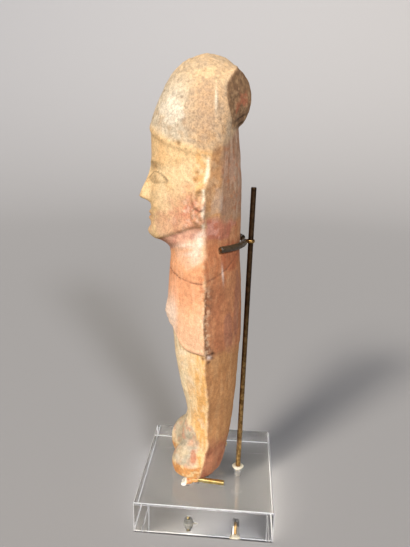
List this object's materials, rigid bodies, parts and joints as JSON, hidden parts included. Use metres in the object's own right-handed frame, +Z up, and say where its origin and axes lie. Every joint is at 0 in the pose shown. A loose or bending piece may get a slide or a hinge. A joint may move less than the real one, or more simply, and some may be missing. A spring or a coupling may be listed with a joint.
{
  "type": "terracotta statuette",
  "caption": "Mould-made terracotta statuette of a standing figure in a tall cap, held by a brass rod and fork on a clear block.",
  "frame": {"origin": "centre of the clear block's flat underside", "axes": "+Z up along the figure, -Y the way the figure faces, +X towards the figure's left"},
  "size_m": [0.08, 0.083, 0.262],
  "materials": {
    "terracotta": "matt fired clay with worn slip and paint",
    "clear_acrylic": "polished clear acrylic",
    "aged_brass": "browned brass",
    "bright_brass": "satin",
    "sleeving": "satin",
    "glue": "satin, slightly cloudy"
  },
  "bodies": {
    "root": {"statuette": "terracotta", "base_block": "clear_acrylic", "support_rod": "aged_brass", "cradle": "bright_brass", "cradle_sleeve_left": "sleeving", "cradle_sleeve_right": "sleeving", "left_foot_pin": "bright_brass", "right_foot_pin": "bright_brass", "rod_glue": "glue", "left_pin_glue": "glue", "right_pin_glue": "glue"}
  },
  "joints": []
}
